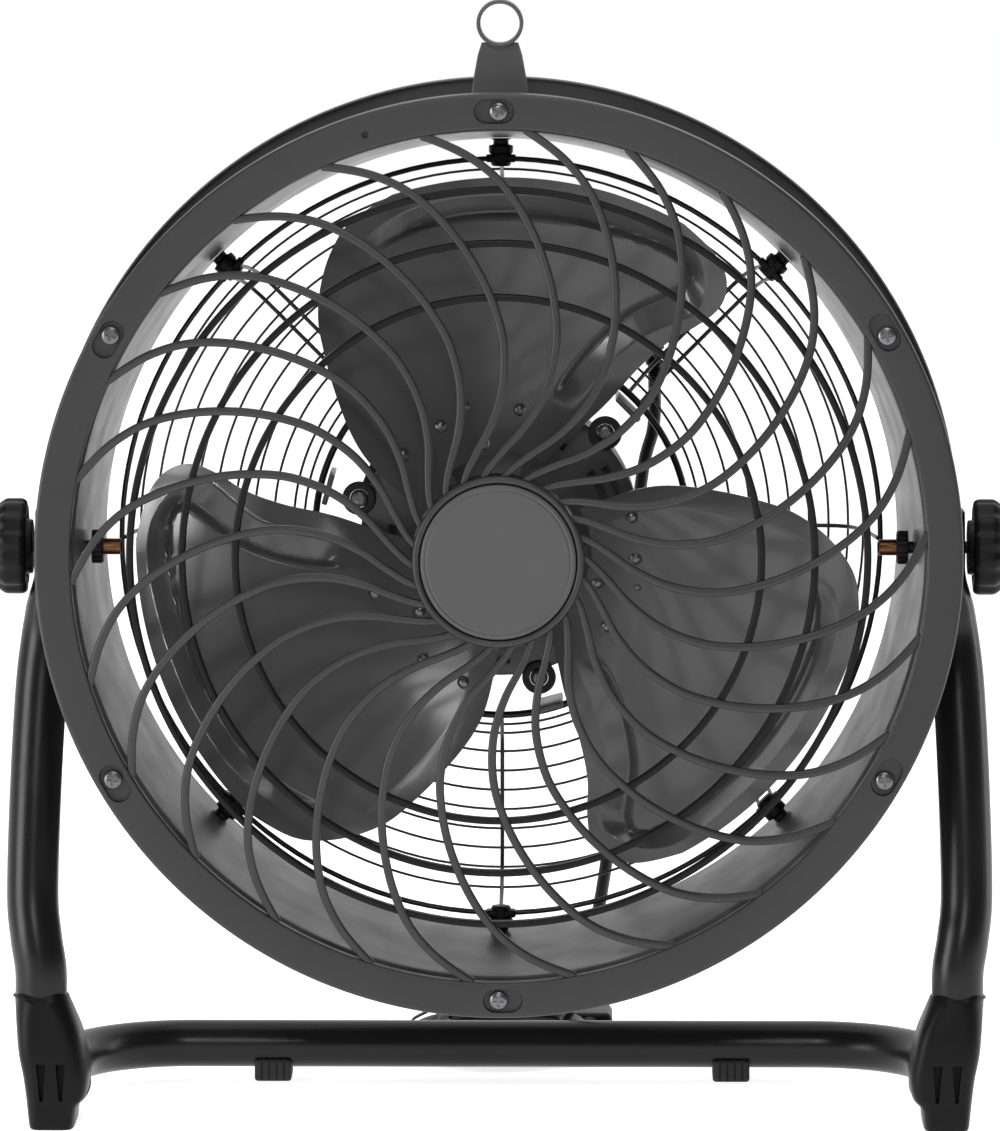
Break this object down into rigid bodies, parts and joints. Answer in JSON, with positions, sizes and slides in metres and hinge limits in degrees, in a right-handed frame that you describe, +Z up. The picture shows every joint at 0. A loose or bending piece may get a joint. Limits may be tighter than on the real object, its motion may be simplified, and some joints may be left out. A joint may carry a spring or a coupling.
{
  "type": "drum floor fan",
  "caption": "Round drum floor fan with a spiral front grille, pressed blades and a rear motor guard, tilting between clamp knobs on a tubular stand; loose cord coiled behind.",
  "frame": {"origin": "on the floor, below the middle of the fan without its cord, halfway between the front badge and the back of the speed knob", "axes": "+Z up, -Y the way the air blows, +X to the right when facing the front grille"},
  "size_m": [0.3954, 0.2743, 0.4409],
  "materials": {
    "painted_drum": "satin powder coat",
    "grille_plastic": "satin moulded",
    "badge_plastic": "fine texture",
    "painted_blade": "satin powder coat",
    "guard_wire": "satin powder coat on welded steel wire",
    "painted_tube": "satin powder coat",
    "black_plastic": "satin moulded",
    "pad_rubber": "matte",
    "motor_paint": "satin paint",
    "screw_steel": "blackened",
    "bright_steel": "machined",
    "nut_brass": "machined",
    "core_steel": "laminated",
    "winding_copper": "varnished wire",
    "cord_jacket": "satin"
  },
  "bodies": {
    "stand": {"base_tube": "painted_tube", "arm_left": "painted_tube", "arm_right": "painted_tube", "foot_left": "black_plastic", "foot_right": "black_plastic", "rear_pad_left": "pad_rubber", "rear_pad_right": "pad_rubber", "power_cord": "cord_jacket", "cord_coil": "cord_jacket", "plug": "black_plastic"},
    "head": {"badge_disc": "badge_plastic", "bearing_front": "bright_steel", "bearing_rear": "bright_steel", "capacitor": "black_plastic", "drum_shell": "painted_drum", "front_grille": "grille_plastic", "front_winding": "winding_copper", "grille_screw_1": "screw_steel", "grille_screw_2": "screw_steel", "grille_screw_3": "screw_steel", "grille_screw_4": "screw_steel", "grille_screw_5": "screw_steel", "grille_screw_6": "screw_steel", "guard_nut_1": "screw_steel", "guard_nut_2": "screw_steel", "guard_nut_3": "screw_steel", "guard_nut_4": "screw_steel", "guard_nut_5": "screw_steel", "guard_nut_6": "screw_steel", "hook_bracket": "painted_drum", "motor_bracket": "painted_drum", "motor_front_shell": "motor_paint", "motor_lead": "cord_jacket", "motor_rear_shell": "motor_paint", "motor_screw_1": "screw_steel", "motor_screw_2": "screw_steel", "motor_screw_3": "screw_steel", "pivot_nut_left": "nut_brass", "pivot_nut_right": "nut_brass", "pivot_spacer_left": "black_plastic", "pivot_spacer_right": "black_plastic", "rear_guard": "guard_wire", "rear_winding": "winding_copper", "rotary_switch": "black_plastic", "stator_core": "core_steel", "strain_relief": "black_plastic", "switch_box": "black_plastic", "switch_box_plate": "painted_drum"},
    "rotor": {"blade_spider": "motor_paint", "blade_1": "painted_blade", "blade_2": "painted_blade", "blade_3": "painted_blade", "motor_shaft": "bright_steel", "hub_nut": "screw_steel", "rotor_core": "core_steel"},
    "knob_left": {"tilt_knob_left": "black_plastic"},
    "knob_right": {"tilt_knob_right": "black_plastic"},
    "dial": {"speed_knob": "black_plastic"}
  },
  "joints": [
    {"name": "head_tilt", "type": "hinge", "parent": "stand", "child": "head", "pos_m": [0, -0.0325, 0.226], "axis": [-1, 0, 0], "range_deg": [-12, 30], "deforming": ["power_cord"]},
    {"name": "blade_spin", "type": "hinge", "parent": "head", "child": "rotor", "pos_m": [0, -0.0275, 0.226], "axis": [0, 1, 0], "continuous": true},
    {"name": "tilt_knob_left", "type": "hinge", "parent": "head", "child": "knob_left", "pos_m": [-0.19, -0.0325, 0.226], "axis": [-1, 0, 0], "range_deg": [-30, 360]},
    {"name": "tilt_knob_right", "type": "hinge", "parent": "head", "child": "knob_right", "pos_m": [0.19, -0.0325, 0.226], "axis": [1, 0, 0], "range_deg": [-30, 360]},
    {"name": "speed_knob", "type": "hinge", "parent": "head", "child": "dial", "pos_m": [0.057, 0.085, 0.326], "axis": [0, 1, 0], "range_deg": [0, 135]}
  ]
}
